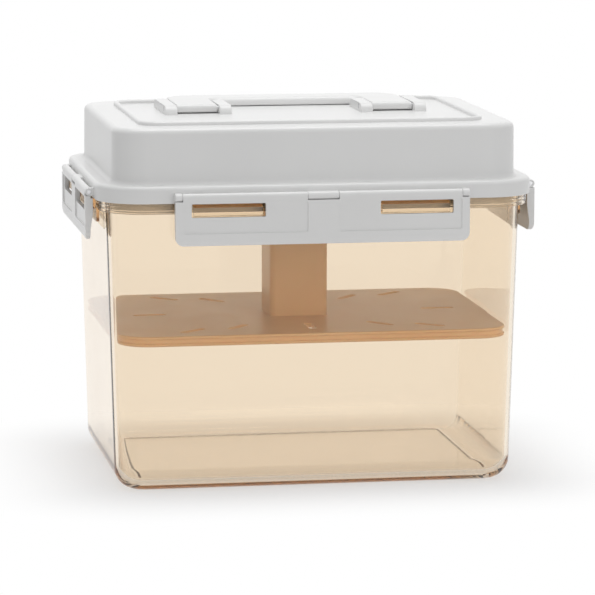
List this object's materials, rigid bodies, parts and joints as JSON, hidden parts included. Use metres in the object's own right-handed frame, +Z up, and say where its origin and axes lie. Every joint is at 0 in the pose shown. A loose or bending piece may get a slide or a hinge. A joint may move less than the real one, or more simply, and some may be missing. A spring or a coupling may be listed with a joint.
{
  "type": "fermenting container",
  "caption": "Clear rectangular fermenting container with a domed latch-down lid, a folding carry handle and a press plate on a hollow square post.",
  "frame": {"origin": "centre of the base, on the surface that it stands on", "axes": "+X to the right along the long side, +Y to the back, +Z up; the front with the long latch faces -Y"},
  "size_m": [0.2596, 0.1936, 0.2121],
  "materials": {
    "clear_plastic": "clear, polished",
    "white_plastic": "satin moulded",
    "silicone": "matt translucent",
    "press_plastic": "translucent, satin",
    "pin_steel": "drawn"
  },
  "bodies": {
    "container": {"container": "clear_plastic"},
    "lid": {"lid_shell": "white_plastic", "lid_gasket": "silicone", "guide_stem": "press_plastic", "latch_pin_front": "pin_steel", "latch_pin_back": "pin_steel", "latch_pin_left": "pin_steel", "latch_pin_right": "pin_steel", "handle_pin_left": "pin_steel", "handle_pin_right": "pin_steel"},
    "latch_front": {"latch_front": "white_plastic"},
    "latch_back": {"latch_back": "white_plastic"},
    "latch_left": {"latch_left": "white_plastic"},
    "latch_right": {"latch_right": "white_plastic"},
    "handle": {"carry_handle": "white_plastic"},
    "press": {"press_plate": "press_plastic", "press_post": "press_plastic"}
  },
  "joints": [
    {"name": "lid_lift", "type": "slide", "parent": "container", "child": "lid", "axis": [0, 0, 1], "range_m": [0, 0.16]},
    {"name": "latch_front_hinge", "type": "hinge", "parent": "lid", "child": "latch_front", "pos_m": [0, -0.0946, 0.1696], "axis": [-1, 0, 0], "range_deg": [-4.2, 110]},
    {"name": "latch_back_hinge", "type": "hinge", "parent": "lid", "child": "latch_back", "pos_m": [0, 0.0946, 0.1696], "axis": [1, 0, 0], "range_deg": [-4.2, 110]},
    {"name": "latch_left_hinge", "type": "hinge", "parent": "lid", "child": "latch_left", "pos_m": [-0.1276, 0, 0.1696], "axis": [0, 1, 0], "range_deg": [-4.2, 110]},
    {"name": "latch_right_hinge", "type": "hinge", "parent": "lid", "child": "latch_right", "pos_m": [0.1276, 0, 0.1696], "axis": [0, -1, 0], "range_deg": [-4.2, 110]},
    {"name": "handle_fold", "type": "hinge", "parent": "lid", "child": "handle", "pos_m": [0, 0, 0.2097], "axis": [1, 0, 0], "range_deg": [0, 180]},
    {"name": "press_slide", "type": "slide", "parent": "lid", "child": "press", "axis": [0, 0, 1], "range_m": [-0.025, 0.017]}
  ]
}
